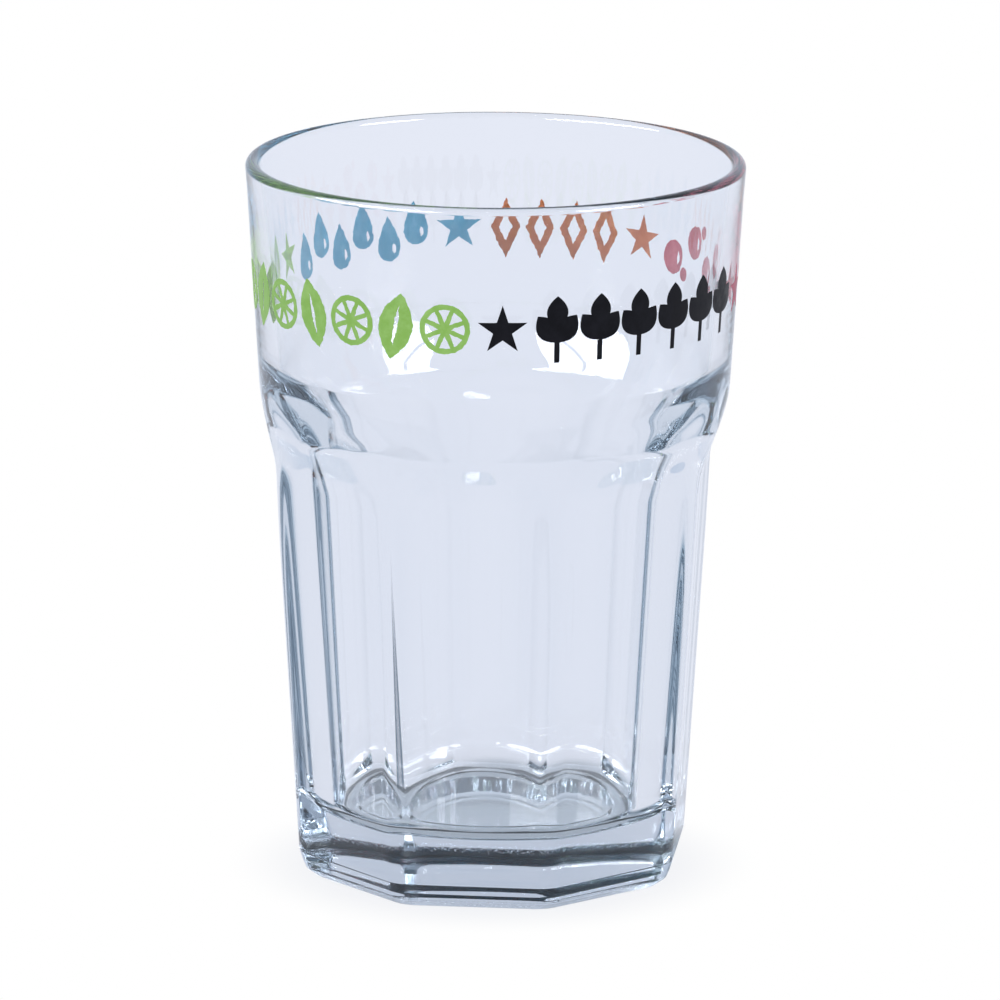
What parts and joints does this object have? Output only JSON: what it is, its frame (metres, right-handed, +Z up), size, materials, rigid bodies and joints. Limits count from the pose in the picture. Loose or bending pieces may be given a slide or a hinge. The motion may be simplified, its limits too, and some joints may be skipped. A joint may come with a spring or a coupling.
{
  "type": "drinking glass",
  "caption": "Clear pressed tumbler: round band with a rolled lip over a faceted tapering body with a thick base, and coloured enamel stars, leaves, slices, bubbles and drops round the band.",
  "frame": {"origin": "centre of the underside, on the plane that the glass stands on", "axes": "+Z up along the glass's axis, -Y square to the middle of a flat side, just left of the black star"},
  "size_m": [0.0832, 0.0832, 0.121],
  "materials": {
    "clear_glass": "clear fire-polished soda-lime glass with a slight blue-grey cast",
    "enamel_black": "opaque fired enamel, satin gloss",
    "enamel_red": "opaque fired enamel, satin gloss",
    "enamel_orange": "opaque fired enamel, satin gloss",
    "enamel_blue": "opaque fired enamel, satin gloss",
    "enamel_green": "opaque fired enamel, satin gloss"
  },
  "bodies": {
    "root": {"glass_body": "clear_glass", "star_black": "enamel_black", "star_red": "enamel_red", "star_orange": "enamel_orange", "star_blue": "enamel_blue", "star_green": "enamel_green", "mint_leaf_1": "enamel_green", "mint_leaf_2": "enamel_green", "mint_leaf_3": "enamel_green", "mint_leaf_4": "enamel_green", "lime_slice_1": "enamel_green", "lime_slice_2": "enamel_green", "lime_slice_3": "enamel_green", "lime_slice_4": "enamel_green", "sprig_1": "enamel_black", "sprig_2": "enamel_black", "sprig_3": "enamel_black", "sprig_4": "enamel_black", "sprig_5": "enamel_black", "sprig_6": "enamel_black", "bubble_1": "enamel_red", "bubble_2": "enamel_red", "bubble_3": "enamel_red", "bubble_4": "enamel_red", "small_bubble_1": "enamel_red", "small_bubble_2": "enamel_red", "small_bubble_3": "enamel_red", "diamond_1": "enamel_orange", "diamond_2": "enamel_orange", "diamond_3": "enamel_orange", "diamond_4": "enamel_orange", "drop_1": "enamel_blue", "drop_2": "enamel_blue", "drop_3": "enamel_blue", "drop_4": "enamel_blue", "drop_5": "enamel_blue", "drop_6": "enamel_blue"}
  },
  "joints": []
}
